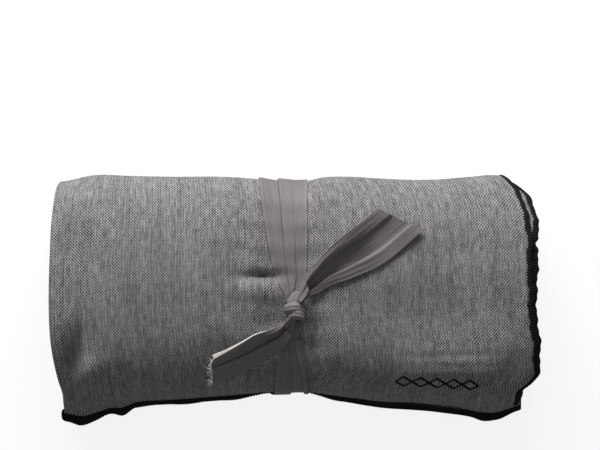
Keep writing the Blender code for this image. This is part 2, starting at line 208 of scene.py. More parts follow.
# Hollows and swellings of the top: x, y, half length, half width, turned by, rise.
SOFT_SPOTS = (
    (-0.024, 0.0165, 0.017, 0.0034, 3, -0.0044), (-0.026, 0.005, 0.018, 0.0080, 0, 0.0022),
    (-0.013, -0.015, 0.012, 0.0120, -20, -0.0036), (-0.053, -0.046, 0.026, 0.0160, 0, -0.0020),
    (0.0145, -0.030, 0.0075, 0.0260, -6, -0.0050), (0.020, -0.056, 0.011, 0.0026, 8, -0.0022),
    (0.042, -0.030, 0.016, 0.0220, -6, 0.0018), (0.024, 0.036, 0.010, 0.0280, -8, -0.0022),
    (0.110, -0.010, 0.058, 0.0300, 2, -0.0066), (0.118, 0.034, 0.040, 0.0100, 4, -0.0016),
    (0.158, -0.052, 0.0085, 0.0140, -12, -0.0042), (0.120, -0.052, 0.050, 0.0080, 3, 0.0012),
    (-0.1585, -0.044, 0.0070, 0.0210, -10, -0.0110), (-0.146, -0.054, 0.0080, 0.0160, -20, 0.0042),
    (-0.152, -0.066, 0.0055, 0.0070, 35, -0.0040), (-0.163, -0.012, 0.009, 0.0220, 0, 0.0016),
    (-0.160, 0.081, 0.010, 0.0060, 20, -0.0030), (-0.161, 0.038, 0.009, 0.0150, 0, -0.0030),
    (-0.090, 0.012, 0.040, 0.0150, 8, 0.0010), (0.072, 0.010, 0.030, 0.0140, -12, 0.0010),
)
# How deep inside the roll the relief of its top still shows.
RELIEF_FADES = 0.020


def through(stations, where):
    """A smooth line through given stations."""
    at, value = np.array(stations).T
    slope = np.gradient(value, at)
    where = np.clip(where, at[0], at[-1])
    i = np.clip(np.searchsorted(at, where) - 1, 0, len(at) - 2)
    step = at[i + 1] - at[i]
    t = (where - at[i]) / step
    ends = value[i] * (1 + 2 * t) * (1 - t) ** 2 + value[i + 1] * t * t * (3 - 2 * t)
    return ends + step * t * (1 - t) * (slope[i] * (1 - t) - slope[i + 1] * t)


def eased(share):
    share = np.clip(share, 0.0, 1.0)
    return share * share * (3 - 2 * share)


def relief(x, y):
    """How much the top of the cloth rises or sinks at a place: a slow and a quick waviness,
    the soft spots, ripples beside the stitched mark, and puckers on both sides of the tie."""
    total = 0.0006 * np.sin(x / 0.0125 + 1.1) * np.cos(y / 0.0170 + x / 0.0300)
    total = total + 0.0004 * np.sin(x / 0.0061 + y / 0.0093)
    for at_x, at_y, long, wide, turned, rise in SOFT_SPOTS:
        turn = math.radians(turned)
        dx, dy = x - at_x, y - at_y
        along = (dx * math.cos(turn) + dy * math.sin(turn)) / long
        across = (dy * math.cos(turn) - dx * math.sin(turn)) / wide
        total = total + rise * np.exp(-along ** 2 - across ** 2)
    ripples = np.sin((y - 0.02 * x) / 0.0013) * np.exp(-((x - 0.117) / 0.030) ** 2)
    total = total + 0.0004 * ripples * np.exp(-((y + 0.042) / 0.012) ** 2)
    for side, lean in ((-1, 0.10), (1, -0.14)):
        from_tape = (x - TAPE_X) * side - 0.019
        pucker = np.sin((y + lean * x) / 0.0026) * np.exp(-np.abs(from_tape) / 0.011)
        total = total + 0.0005 * pucker
    return total


def turns(angle):
    return (angle - FREE_EDGE) / math.tau


def roll_points(angle, x, depth, wound=None, length=1.0):
    """Points of the roll.  Angle 0 is the -Y side and 90 degrees the top, and depth goes into
    the roll from the outer skin of the layer that is wound so many turns in."""
    angle, x, depth, length = np.broadcast_arrays(angle, x, depth, length)
    wound = turns(angle) if wound is None else wound
    across, up = np.cos(angle), np.sin(angle)
    power = np.where(up >= 0, 2 / TOP_ROUNDNESS, 2 / UNDER_ROUNDNESS)
    across = np.sign(across) * np.abs(across) ** power
    up = np.sign(up) * np.abs(up) ** power
    near, far = through(NEAR_SIDE, x), through(FAR_SIDE, x)
    half = (far - near) / WHOLE_REACH
    squeeze = np.exp(-((x - TAPE_X) / WAIST_REACH) ** 2)
    squeeze = squeeze + 0.20 * np.exp(-((x - TAPE_X) / UNDER_TAPE) ** 6)
    drop = np.where(up > 0, WAIST_TOP, WAIST_UNDER) * squeeze
    half_width = (HALF_WIDTH - PITCH_ACROSS * wound - depth) * half / HALF_WIDTH
    half_height = (HALF_HEIGHT - PITCH_UP * wound - depth) * (1 - drop / HALF_HEIGHT)
    y = near + NEAR_REACH * half - half_width * across
    z = np.maximum(CENTRE_HEIGHT + half_height * up, depth + WAIST_UNDER * squeeze)
    skin_depth = PITCH_UP * wound + depth
    lying = eased(up * 1.6) * np.exp(-np.maximum(skin_depth - 0.002, 0) / RELIEF_FADES)
    end_droop = FOLD_DROOP * np.clip(1 - (x + ROLL_END) / FOLD_REACH, 0, 1) ** 2
    end_droop = end_droop + LOOSE_DROOP * np.clip(1 - (ROLL_END - x) / LOOSE_REACH, 0, 1) ** 2
    z = z + (relief(x, y) - end_droop) * lying
    loose = 0.5 * np.clip(1 - length / FLARE_LENGTH, 0, 1) ** 2
    loose = (loose + 0.5 * np.clip(1 - length / FLARE_TIP, 0, 1) ** 2) * (wound < 0.5)
    curl = np.clip(1 - length / CURL_LENGTH, 0, 1) * (wound < 0.5)
    under_ply = np.clip((depth - PLY_MIDDLE) / (2 * FOLD_RADIUS), 0, 1)
    flare = through(FREE_EDGE_FLARE, x)
    curled = np.minimum(flare / 0.004, 1)
    slack = PLY_SLACK * curled + CORNER_SLACK * np.exp(-((x - SLACK_X) / SLACK_REACH) ** 2)
    y = y - (flare - CURL_SET_BACK * curled + slack * under_ply) * loose
    y = y - CURL_OUT * curled * curl
    z = z + 0.0007 * np.sin(x / 0.0072 + 0.7) * loose + CURL_UP * curled * curl
    return np.stack([x, y, np.maximum(z, LOWEST)], axis=-1)


# Cloth length against angle, measured once along the middle of the loose half.
LOOSE_HALF_X, WALK_DEGREES = 0.09, 2100
walk = FREE_EDGE + np.radians(np.arange(0, WALK_DEGREES, 0.5))
walked = roll_points(walk, LOOSE_HALF_X, PLY_MIDDLE + FOLD_RADIUS)
legs = np.diff(walked, axis=0)
walked_length = np.concatenate([[0], np.cumsum(np.linalg.norm(legs, axis=1))])
heading = np.unwrap(np.arctan2(legs[:, 2], legs[:, 1]))
bend = np.concatenate([[0, 0], np.cumsum(np.abs(np.diff(heading)))])


def angle_at(length):
    return np.interp(length, walked_length, walk)


def length_at(angle):
    return np.interp(angle, walk, walked_length)


# The long edges on the turns inside, and how far back they stay from the outermost turn's.
TOP_INSIDE, UNDER_INSIDE, INSIDE_SET_BACK = 0.1755, 0.1765, 0.0030
NEAR_LOOSE_END, NEAR_FOLD = 0.155, -0.165
# How much further in the fold lies with each turn.
FOLD_STEPS_IN = 0.0034


def long_edge(stations, angle, inner_x):
    """Where a long edge of the cloth ends: as seen from above on the outermost turn, and
    nearly flush, with a little wander, on the turns inside."""
    y = roll_points(angle, NEAR_LOOSE_END, 0.0)[..., 1]
    seen = through(stations, y) + 0.0005 * np.sin(y / 0.0031) + 0.0003 * np.sin(y / 0.0013 + 2)
    inside = inner_x + 0.0012 * np.sin(angle * 0.83) + 0.0006 * np.sin(angle * 2.9 + 1)
    share = eased((turns(angle) - 0.82) / 0.18)
    return seen * (1 - share) + np.minimum(inside, seen - INSIDE_SET_BACK) * share


def fold_line(angle):
    """Where the cloth is folded: a little further in, with some wander, on each turn."""
    y = roll_points(angle, NEAR_FOLD, 0.0)[..., 1]
    wander = 0.0010 * np.sin(angle * 1.31) + 0.0006 * np.sin(angle * 3.7)
    return through(FOLD_END, y) + FOLD_STEPS_IN * np.maximum(turns(angle) - 0.5, 0) + wander


FOLD_FROM = COTTON_WIDTH / 2 - FOLD_RADIUS * math.pi / 2
FOLD_TO = COTTON_WIDTH / 2 + FOLD_RADIUS * math.pi / 2
# The top ply is set back over this length from the free edge.
SET_BACK_LENGTH = 0.09
# The roll's radius at the free edge, for the part of the binding that stands past it.
PAST_EDGE_RADIUS = 0.07


def cloth_points(length, width, off=0.0):
    """Points of the cloth from its own measures: length from the free edge, width from the
    top ply's long edge round the fold to the under ply's, and height off its middle."""
    length, width, off = np.broadcast_arrays(length, width, off)
    plain = angle_at(np.clip(length, 0, None))
    fold_x = fold_line(plain) + FOLD_RADIUS
    top_x = long_edge(TOP_END, plain, TOP_INSIDE)
    under_x = long_edge(UNDER_END, plain, UNDER_INSIDE)
    on_top, in_fold = width < FOLD_FROM, (width >= FOLD_FROM) & (width <= FOLD_TO)
    x_top = top_x + (fold_x - top_x) * width / FOLD_FROM
    x_under = fold_x + (under_x - fold_x) * (width - FOLD_TO) / (COTTON_WIDTH - FOLD_TO)
    turn = math.pi * np.clip((width - FOLD_FROM) / (FOLD_TO - FOLD_FROM), 0, 1)
    x = np.where(on_top, x_top, np.where(in_fold, fold_x - (FOLD_RADIUS + off) * np.sin(turn),
                                         x_under))
    depth = PLY_MIDDLE + FOLD_RADIUS - (FOLD_RADIUS + off) * np.cos(turn)
    back = through(TOP_PLY_BACK, x) * np.clip(1 - length / SET_BACK_LENGTH, 0, 1) * on_top
    shifted = length + back
    angle = angle_at(np.clip(shifted, 0, None)) + np.minimum(shifted, 0) / PAST_EDGE_RADIUS
    return roll_points(angle, x, depth, length=shifted)


def finished(piece, material, body):
    """Material and body of a piece whose mesh is done."""
    piece.data.materials.clear()
    piece.data.materials.append(material)
    if body:
        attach(piece, body)


def woven_sheet(name, points, across, along, thickness):
    """A sheet of cloth through rows of points, with its flat measures as its UV map."""
    rows, columns = points.shape[:2]
    bpy.ops.object.select_all(action="DESELECT")
    bpy.ops.mesh.primitive_grid_add(x_subdivisions=columns - 1, y_subdivisions=rows - 1, size=1)
    made = bpy.context.object
    made.name = name
    made.data.vertices.foreach_set("co", points.reshape(-1))
    flat = np.stack(np.broadcast_arrays(across, along), axis=-1).reshape(-1, 2)
    corners = np.zeros(len(made.data.loops), np.int32)
    made.data.loops.foreach_get("vertex_index", corners)
    made.data.uv_layers.active.data.foreach_set("uv", flat[corners].reshape(-1))
    made.data.update()
    wall = made.modifiers.new("thickness", "SOLIDIFY")
    wall.thickness = thickness
    wall.offset = 0.0
    bpy.ops.object.modifier_apply(modifier=wall.name)
    bpy.ops.object.shade_smooth_by_angle(angle=math.radians(60))
    return made


# Rows of points lie close together where the cloth shows or bends, and wide apart inside.
SEEN_TO, SEEN_SPACING, HIDDEN_SPACING = math.radians(205), 0.0029, 0.0090
ROW_BEND = math.radians(14)
spacing = np.where(walk < SEEN_TO, SEEN_SPACING, HIDDEN_SPACING)
effort = np.concatenate([[0], np.cumsum(np.diff(walked_length) / spacing[1:])])
effort = effort + bend / ROW_BEND
# The cloth stops inside its bindings, further in at the free edge, where the binding shows.
HEM, FREE_HEM = 0.0012, 0.0044
TOP_COLUMNS, FOLD_COLUMNS, UNDER_COLUMNS = 98, 9, 34
first, last = np.interp((FREE_HEM, COTTON_LENGTH - HEM), walked_length, effort)
cloth_rows = np.interp(np.linspace(first, last, int(last - first)), effort, walked_length)
cloth_columns = np.concatenate([
    np.linspace(HEM, FOLD_FROM, TOP_COLUMNS),
    np.linspace(FOLD_FROM, FOLD_TO, FOLD_COLUMNS)[1:-1],
    np.linspace(FOLD_TO, COTTON_WIDTH - HEM, UNDER_COLUMNS)])
cloth = woven_sheet("towel", cloth_points(cloth_rows[:, None], cloth_columns[None, :]),
                    cloth_columns[None, :], cloth_rows[:, None], PLY_THICKNESS)

# Cotton in plain weave, yarn dyed: grey and near-black yarns of uneven thickness that show as
# fine checks.  The real yarns are about 0.7 mm apart, and are drawn 1.05 mm apart to show.
YARN = 0.00105
cotton, tree, shader = new_material("woven_cotton")
shader.inputs["Roughness"].default_value = 0.92
shader.inputs["Specular IOR Level"].default_value = 0.22
shader.inputs["Sheen Weight"].default_value = 0.12
shader.inputs["Sheen Roughness"].default_value = 0.5
shader.inputs["Sheen Tint"].default_value = linear("#c9c7c8")
flat_place = add_node(tree, "ShaderNodeTexCoord").outputs["UV"]
wobble = add_node(tree, "ShaderNodeTexNoise",
                  {"Vector": flat_place, "Scale": 140.0, "Detail": 2.0})
wobble = add_node(tree, "ShaderNodeVectorMath", {0: wobble.outputs["Color"], 1: (0.5, 0.5, 0.5)},
                  operation="SUBTRACT")
wobble = add_node(tree, "ShaderNodeVectorMath", {0: wobble.outputs[0], "Scale": 0.0011},
                  operation="SCALE")
place = add_node(tree, "ShaderNodeVectorMath", {0: flat_place, 1: wobble.outputs[0]},
                 operation="ADD")
split = add_node(tree, "ShaderNodeSeparateXYZ", {"Vector": place.outputs[0]})


# The next four functions draw on the material whose tree is being made.

def yarn_wave(across, pitch, phase=0.0):
    """A wave of one yarn spacing across the yarns of one direction of the cloth."""
    turned = add_node(tree, "ShaderNodeMath", {0: across, 1: math.tau / pitch, 2: phase},
                      operation="MULTIPLY_ADD")
    return add_node(tree, "ShaderNodeMath", {0: turned.outputs[0]}, operation="SINE").outputs[0]


def crossed_yarns(first_wave, second_wave):
    """The small squares that the yarns of two directions make where they cross."""
    return add_node(tree, "ShaderNodeMath", {0: first_wave, 1: second_wave},
                    operation="MULTIPLY").outputs[0]


def with_pattern(shade, pattern, share):
    """A shade with a pattern added to it by its share."""
    return add_node(tree, "ShaderNodeMath", {0: pattern, 1: share, 2: shade},
                    operation="MULTIPLY_ADD").outputs[0]


def drawn_out(per_metre, **settings):
    """Uneven streaks: so many to the metre across the cloth's width and along its length."""
    mapped = add_node(tree, "ShaderNodeMapping", {"Vector": flat_place, "Scale": per_metre})
    return add_node(tree, "ShaderNodeTexNoise",
                    {"Vector": mapped.outputs[0], "Scale": 1.0, **settings}).outputs["Fac"]


CHECKS_SHARE, CORDS_SHARE, MIDDLE_SHADE = 0.42, 0.07, 0.52
checks = crossed_yarns(yarn_wave(split.outputs["X"], YARN * 2),
                       yarn_wave(split.outputs["Y"], YARN * 2))
cords = yarn_wave(split.outputs["X"], YARN * 2, 0.9)
shade = with_pattern(with_pattern(MIDDLE_SHADE, cords, CORDS_SHARE), checks, CHECKS_SHARE)
# Thick places in the lengthwise yarns, short dark dashes in the crosswise ones, and the slow
# bands of a yarn that changes its dye, each centred so that the mean shade stays.
for per_metre, detail, roughness, share in (((620, 130, 1), 2.5, 0.55, 0.75),
                                            ((150, 700, 1), 1.5, 0.50, 0.30),
                                            ((260, 12, 1), 1.0, 0.50, 0.34)):
    streaks = drawn_out(per_metre, Detail=detail, Roughness=roughness)
    centred = add_node(tree, "ShaderNodeMath", {0: shade, 1: share / 2}, operation="SUBTRACT")
    shade = with_pattern(centred.outputs[0], streaks, share)
yarn_colour = add_node(tree, "ShaderNodeValToRGB", {"Fac": shade})
ramp = yarn_colour.color_ramp
ramp.elements[0].position, ramp.elements[0].color = 0.04, linear("#262526")
ramp.elements[1].position, ramp.elements[1].color = 0.96, linear("#c3c1c2")
middle_stop = ramp.elements.new(0.50)
middle_stop.color = linear("#7c7a7b")
tree.links.new(yarn_colour.outputs["Color"], shader.inputs["Base Color"])
relief_bump = add_node(tree, "ShaderNodeBump",
                       {"Height": shade, "Strength": 1.0, "Distance": 0.0006})
tree.links.new(relief_bump.outputs["Normal"], shader.inputs["Normal"])

finished(cloth, cotton, "roll")
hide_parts("towel_cloth")


# The edging: black polyester overlock thread, stitched over all four raw edges of the cloth.
# Each run is a soft flat binding with a ridge for every stitch.

BINDING_WIDTH, BINDING_THICKNESS = 0.0050, 0.0034
STITCH = 0.0021
BINDING_SIDES, BINDING_STEP = 10, 0.00052
# The two long bindings stop short of the corners, where the short ones cross them.
CORNER = 0.0015
# The binding of the free edge is bulkier, because the thread turns both corners there, and it
# wanders a little.
FREE_WIDER, FREE_THICKER, EDGE_WAVE = 1.2, 1.35, 0.0007


def tube_mesh(name, runs):
    """Tubes, each through its own row of rings and capped at both ends, as one mesh."""
    verts, faces, start = [], [], 0
    for rings in runs:
        count, sides = rings.shape[:2]
        verts.append(rings.reshape(-1, 3))
        for i in range(count - 1):
            here, there = start + i * sides, start + (i + 1) * sides
            for k in range(sides):
                turn = (k + 1) % sides
                faces.append((here + k, here + turn, there + turn, there + k))
        faces.append(tuple(start + k for k in range(sides))[::-1])
        faces.append(tuple(start + (count - 1) * sides + k for k in range(sides)))
        start += count * sides
    mesh = bpy.data.meshes.new(name)
    mesh.from_pydata(np.concatenate(verts).tolist(), [], faces)
    made = bpy.data.objects.new(name, mesh)
    bpy.context.collection.objects.link(made)
    bpy.ops.object.select_all(action="DESELECT")
    made.select_set(True)
    bpy.context.view_layer.objects.active = made
    bpy.ops.object.mode_set(mode="EDIT")
    bpy.ops.mesh.select_all(action="SELECT")
    bpy.ops.mesh.normals_make_consistent(inside=False)
    bpy.ops.object.mode_set(mode="OBJECT")
    bpy.ops.object.shade_smooth_by_angle(angle=math.radians(75))
    return made


round_binding = np.linspace(0, math.tau, BINDING_SIDES, endpoint=False)
inwards = BINDING_WIDTH * (1 - np.cos(round_binding)) / 2
outwards = np.sign(np.sin(round_binding)) * np.abs(np.sin(round_binding)) ** 0.7


def binding(name, run_length, lay):
    """A binding along one edge.  lay(along, inwards, off) gives points of the cloth there."""
    along = np.linspace(0, run_length, int(run_length / BINDING_STEP))[:, None]
    ridge = 1 + 0.17 * np.cos(math.tau * along / STITCH) + 0.06 * np.sin(along / 0.0131)
    reach = 1 + 0.07 * np.cos(math.tau * along / STITCH + 1) + 0.05 * np.sin(along / 0.0072)
    points = lay(along, inwards[None, :] * reach, outwards * BINDING_THICKNESS / 2 * ridge)
    return tube_mesh(name, [points])


top_binding = binding(
    "edging_top", COTTON_LENGTH - 2 * CORNER,
    lambda along, into, off: cloth_points(along + CORNER, into, off))
under_binding = binding(
    "edging_under", COTTON_LENGTH - 2 * CORNER,
    lambda along, into, off: cloth_points(along + CORNER, COTTON_WIDTH - into, off))
free_binding = binding(
    "edging_free", COTTON_WIDTH,
    lambda along, into, off: cloth_points(
        FREE_WIDER * into + EDGE_WAVE * (np.sin(along / 0.006) - 1), along, FREE_THICKER * off))
core_binding = binding(
    "edging_core", COTTON_WIDTH,
    lambda along, into, off: cloth_points(COTTON_LENGTH - into, along, off))

# Matt black spun polyester: a very dark thread, a little lighter where the fibres catch light.
thread, tree, shader = new_material("black_spun_thread")
shader.inputs["Roughness"].default_value = 0.78
shader.inputs["Specular IOR Level"].default_value = 0.14
place = add_node(tree, "ShaderNodeTexCoord").outputs["Object"]
fibre = add_node(tree, "ShaderNodeTexNoise",
                 {"Vector": place, "Scale": 900.0, "Detail": 3.0}).outputs["Fac"]
mixed = add_node(tree, "ShaderNodeValToRGB", {"Fac": fibre})
mixed.color_ramp.elements[0].color = linear("#08080a")
mixed.color_ramp.elements[1].color = linear("#232224")
tree.links.new(mixed.outputs["Color"], shader.inputs["Base Color"])
fuzz = add_node(tree, "ShaderNodeBump", {"Height": fibre, "Strength": 0.5, "Distance": 0.0005})
tree.links.new(fuzz.outputs["Normal"], shader.inputs["Normal"])

for piece, node in ((top_binding, "edging_top_ply"), (under_binding, "edging_under_ply"),
                    (free_binding, "edging_free_end"), (core_binding, "edging_core_end")):
    finished(piece, thread, "roll")
    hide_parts(node)


# The stitched mark near the corner: a chain of five open lozenges in black satin stitch.
# Every stitch is one short thread that goes up through the cloth and down again.

MARK_X, MARK_Y = 0.104, -0.0605
MARK_LENGTH, MARK_HEIGHT, MARK_LINK, MARK_STROKE = 0.060, 0.0086, 0.0008, 0.0017
LOZENGES, STITCHES_EACH = 5, 22
STITCH_RADIUS, STITCH_SUNK, STITCH_SLANT = 0.00036, 0.0002, 0.0003


def skin_angle(x, y):
    """The angle on the outermost turn straight below a place on the top of the roll."""
    angles = np.radians(np.arange(2.0, 178.0, 0.5))
    return float(np.interp(y, roll_points(angles, x, 0.0)[:, 1], angles))


def skin_heights(x, y):
    """Heights of the outermost turn at places on the top of the roll."""
    angles = np.radians(np.arange(2.0, 178.0, 0.5))
    skin = roll_points(angles[None, :], np.asarray(x)[:, None], 0.0)
    return np.array([np.interp(at, line[:, 1], line[:, 2]) for at, line in zip(y, skin)])


mark_middle = length_at(skin_angle(MARK_X, MARK_Y))
ring = np.linspace(0, math.tau, 6, endpoint=False)
stitches = []
for step in range(LOZENGES * STITCHES_EACH):
    phase = (step + 0.5) / STITCHES_EACH % 1
    from_middle = (MARK_HEIGHT - MARK_LINK) * (1 - abs(2 * phase - 1)) / 2
    stitch_x = MARK_X + MARK_LENGTH * ((step + 0.5) / (LOZENGES * STITCHES_EACH) - 0.5)
    for side in (-1, 1):
        rings = []
        for share in np.linspace(-1, 1, 5):
            rise = STITCH_RADIUS * 1.1 * (1 - share ** 4) - STITCH_SUNK
            angle = angle_at(mark_middle + side * from_middle + share * MARK_STROKE / 2)
            slant = stitch_x + STITCH_SLANT * share
            rings.append(roll_points(angle, slant + STITCH_RADIUS * 1.15 * np.cos(ring),
                                     STITCH_SUNK - rise - STITCH_RADIUS * np.sin(ring),
                                     length=mark_middle))
        stitches.append(np.array(rings))
mark = tube_mesh("corner_stitching", stitches)
finished(mark, thread, "roll")
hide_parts("corner_mark")


# The tie: one flat woven polyester tape, 37 mm wide and 0.64 m long.  It goes once round the
# roll and keeps its full width only on the far side and below: towards the knot it is drawn
# together, and it folds lengthwise into pleats.

TAPE_WIDTH, TAPE_THICKNESS = 0.037, 0.0009
# Points across the tape, and finer steps between them while its section is worked out.
ACROSS, FINER = 75, 6
# A crease turns through this angle over this length of the tape.
CREASE_TURN, CREASE = 2.9, 0.0019


def pleats(chord, creases):
    """A tape's cross section where its borders lie closer together than its width, so that it
    lies in flat pleats: sideways place and height of each point, with the borders level.
    Each crease has its place as a share of the chord, +1 if it faces the first border or -1,
    and its share of the cloth that is folded away."""
    fine = np.linspace(0, TAPE_WIDTH, (ACROSS - 1) * FINER + 1)
    step = fine[1]
    middles, used = [], 0.0
    for place, facing, weight in creases:
        overlap = (TAPE_WIDTH - chord) * weight / 2
        middles.append(place * chord + used + overlap * (1.5 if facing > 0 else 0.5))
        used += 2 * overlap
    low, high = 0.0, 1.0
    for _ in range(18):
        depth = (low + high) / 2
        turn = np.zeros(len(fine))
        for middle, (_, facing, weight) in zip(middles, creases):
            reach = (depth * 0.7 * TAPE_WIDTH * weight - np.abs(fine - middle)) / CREASE
            turn += facing * CREASE_TURN * min(1.0, depth * 7) * eased(reach + 0.5)
        side = np.cumsum(np.cos(turn)) * step
        height = np.cumsum(np.sin(turn)) * step
        if math.hypot(side[-1] - side[0], height[-1] - height[0]) > chord:
            low = depth
        else:
            high = depth
    side, height = (side - side[0])[::FINER], (height - height[0])[::FINER]
    tilt = math.atan2(height[-1], side[-1])
    level = side * math.cos(tilt) + height * math.sin(tilt)
    raised = height * math.cos(tilt) - side * math.sin(tilt)
    return level * chord / level[-1], raised


# The band's two borders as seen from above, y and x, from the near side to the far side.
LEFT_BORDER = ((-0.071, -0.0137), (-0.054, -0.0124), (-0.040, -0.0105), (-0.0255, -0.0070),
               (-0.015, -0.0040), (-0.003, -0.0026), (0.0043, -0.0066), (0.0127, -0.0105),
               (0.021, -0.0138), (0.029, -0.0158), (0.046, -0.0193), (0.071, -0.0230),
               (0.088, -0.0250))
RIGHT_BORDER = ((-0.071, 0.0115), (-0.054, 0.0087), (-0.040, 0.0050), (-0.0255, 0.0020),
                (-0.015, 0.0022), (-0.003, 0.0026), (0.002, 0.0032), (0.0077, 0.0060),
                (0.016, 0.0092), (0.023, 0.0099), (0.046, 0.0103), (0.071, 0.0101),
                (0.088, 0.0104))
# The same below the roll, where the band lies nearly flat, and the most it spreads.
LEFT_BELOW, RIGHT_BELOW, WIDEST_BAND = -0.0238, 0.0131, 0.0369
# The creases on the near side, as pleats() takes them; those on the far side change with y.
NEAR_CREASES = ((0.50, -1, 0.55), (0.88, 1, 0.45))
# How much of the pleats' height is left after the tie is pulled tight.
NEAR_PRESSED, FAR_PRESSED = 0.45, 0.65
BAND_STARTS, BAND_STOPS, BAND_STEP = -0.002, -0.012, 0.0026
band_from = skin_angle(TAPE_X, BAND_STARTS)
band_to = skin_angle(TAPE_X, BAND_STOPS) + math.tau
band_turn = np.linspace(band_from, band_to, 900)
wound = turns(band_turn)
# The band climbs from the turn below onto the free edge just before it crosses it.
onto_edge = eased((1 - wound) / 0.16)
band_wound = np.where(wound < 1, wound * onto_edge, wound - 1)
band_line = roll_points(band_turn, TAPE_X, -TAPE_THICKNESS, wound=band_wound)
band_length = np.concatenate([[0], np.cumsum(np.linalg.norm(np.diff(band_line, axis=0),
                                                            axis=1))])
band_rows = np.linspace(0, band_length[-1], int(band_length[-1] / BAND_STEP))
band_points = []
for along in band_rows:
    angle = float(np.interp(along, band_length, band_turn))
    layer = float(np.interp(along, band_length, band_wound))
    y = float(np.interp(along, band_length, band_line[:, 1]))
    below = float(eased(-math.sin(angle) * 1.4))
    left = float(through(LEFT_BORDER, y)) * (1 - below) + LEFT_BELOW * below
    right = float(through(RIGHT_BORDER, y)) * (1 - below) + RIGHT_BELOW * below
    chord = min(right - left, WIDEST_BAND)
    near_side = along > band_length[-1] / 2
    second = 0.45 * float(eased((0.046 - y) / 0.030))
    far_creases = ((0.38, 1, 1 - second), (0.68, -1, second))
    side, height = pleats(chord, NEAR_CREASES if near_side else far_creases)
    pressed = NEAR_PRESSED if near_side else FAR_PRESSED
    lift = TAPE_THICKNESS * 0.75 + (height - height.min()) * pressed
    band_points.append(roll_points(angle, left + side, -lift, wound=layer))
band = woven_sheet("tie_around", np.array(band_points),
                   np.linspace(0, TAPE_WIDTH, ACROSS)[None, :], band_rows[:, None],
                   TAPE_THICKNESS * 0.8)

# Woven polyester tape, mauve grey: a close plain weave with a fine rib across it and straight
# selvedges.  The ribs are about 0.4 mm apart, and they are drawn at 0.9 mm so that they show.
TAPE_RIB, SELVEDGE = 0.0009, 0.0016
tape, tree, shader = new_material("woven_polyester_tape")
shader.inputs["Roughness"].default_value = 0.62
shader.inputs["Specular IOR Level"].default_value = 0.35
shader.inputs["Sheen Weight"].default_value = 0.15
shader.inputs["Sheen Roughness"].default_value = 0.4
flat_place = add_node(tree, "ShaderNodeTexCoord").outputs["UV"]
split = add_node(tree, "ShaderNodeSeparateXYZ", {"Vector": flat_place})
ribs = crossed_yarns(yarn_wave(split.outputs["Y"], TAPE_RIB),
                     yarn_wave(split.outputs["X"], TAPE_RIB * 0.8))
streaks = drawn_out((900, 45, 1), Detail=3.0)
from_middle = add_node(tree, "ShaderNodeMath", {0: split.outputs["X"], 1: TAPE_WIDTH / 2},
                       operation="SUBTRACT")
from_middle = add_node(tree, "ShaderNodeMath", {0: from_middle.outputs[0]},
                       operation="ABSOLUTE")
selvedge = add_node(tree, "ShaderNodeMath",
                    {0: from_middle.outputs[0], 1: TAPE_WIDTH / 2 - SELVEDGE},
                    operation="GREATER_THAN").outputs[0]
shade = with_pattern(with_pattern(0.28, streaks, 0.45), ribs, 0.12)
shade = with_pattern(shade, selvedge, 0.16)
tape_colour = add_node(tree, "ShaderNodeValToRGB", {"Fac": shade})
ramp = tape_colour.color_ramp
ramp.elements[0].position, ramp.elements[0].color = 0.22, linear("#625d61")
ramp.elements[1].position, ramp.elements[1].color = 0.78, linear("#898388")
tree.links.new(tape_colour.outputs["Color"], shader.inputs["Base Color"])
relief_bump = add_node(tree, "ShaderNodeBump",
                       {"Height": shade, "Strength": 0.35, "Distance": 0.0006})
tree.links.new(relief_bump.outputs["Normal"], shader.inputs["Normal"])

finished(band, tape, "roll")
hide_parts("tie_band")


# The knot: the same tape crossed over itself and pulled tight, so that all its width is
# gathered into a ridged bundle.  A short core lies below, and three turns go over it.

KNOT_X, KNOT_Y = 0.0030, -0.0065
PLEATS_IN_KNOT = 7
knot_floor = float(skin_heights([KNOT_X], [KNOT_Y])[0])


def line_through(places, share):
    """Points of a smooth line through given points, by their share of the way."""
    at = np.linspace(0, 1, len(places))
    return np.stack([through(list(zip(at, [place[k] for place in places])), share)
                     for k in range(3)], axis=-1)


def bundle(path, wide, thick, wide_across, twist, points=42, rings=26):
    """Rings of a gathered bundle of tape along a path, ridged lengthwise by its pleats.  It is
    wide across the given direction, and its ridges twist by so many radians."""
    share = np.linspace(0, 1, rings)
    centre = line_through(path, share)
    heading = np.gradient(centre, axis=0)
    heading /= np.linalg.norm(heading, axis=1)[:, None]
    made = []
    for t, at, ahead in zip(share, centre, heading):
        sideways = np.cross(ahead, wide_across)
        sideways /= np.linalg.norm(sideways)
        upwards = np.cross(sideways, ahead)
        ring = np.linspace(0, math.tau, points, endpoint=False)
        ridge = 1 + 0.10 * np.cos(PLEATS_IN_KNOT * ring + twist * t)
        ridge = ridge + 0.05 * np.cos((PLEATS_IN_KNOT * 2 - 1) * ring - twist * t)
        half_wide = float(through(wide, t)) * ridge
        half_thick = float(through(thick, t)) * ridge
        made.append(at + sideways * (half_wide * np.cos(ring))[:, None]
                    + upwards * (half_thick * np.sin(ring))[:, None])
    return np.array(made)


UPRIGHT = (0.0, 0.0, 1.0)
ALONG_ROLL = (0.0, -1.0, -0.02)
core = bundle([(0.0046, 0.0050, knot_floor + 0.0054), (0.0030, 0.0008, knot_floor + 0.0056),
               (0.0012, -0.0066, knot_floor + 0.0052), (0.0008, -0.0110, knot_floor + 0.0044),
               (0.0004, -0.0145, knot_floor + 0.0026)],
              ((0, 0.0020), (0.25, 0.0044), (0.5, 0.0058), (0.8, 0.0048), (1, 0.0030)),
              ((0, 0.0016), (0.25, 0.0032), (0.5, 0.0042), (0.8, 0.0038), (1, 0.0016)),
              UPRIGHT, 2.5)
